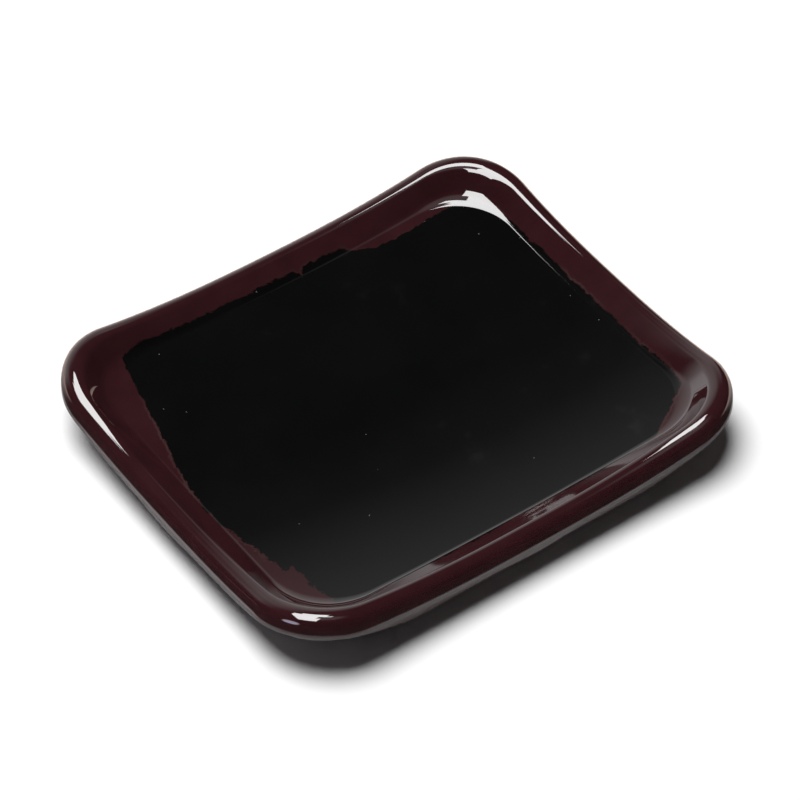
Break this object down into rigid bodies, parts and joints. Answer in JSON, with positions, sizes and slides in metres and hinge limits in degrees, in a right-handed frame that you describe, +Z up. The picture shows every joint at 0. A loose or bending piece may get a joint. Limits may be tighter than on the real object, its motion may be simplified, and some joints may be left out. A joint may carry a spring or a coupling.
{
  "type": "soy sauce dish",
  "caption": "Small rectangular glass dish with raised corners, a full-round maroon rim and a black floor, for soy sauce or dips.",
  "frame": {"origin": "on the table under the middle of the dish", "axes": "+Z up, X along the long side, Y along the short side"},
  "size_m": [0.09, 0.0764, 0.0119],
  "materials": {
    "maroon_glass": "opaque maroon glass with a fire-polished gloss",
    "black_glass": "opaque black glass with a fire-polished gloss"
  },
  "bodies": {
    "root": {"base_sheet": "maroon_glass", "rim_border": "maroon_glass", "black_panel": "black_glass"}
  },
  "joints": []
}
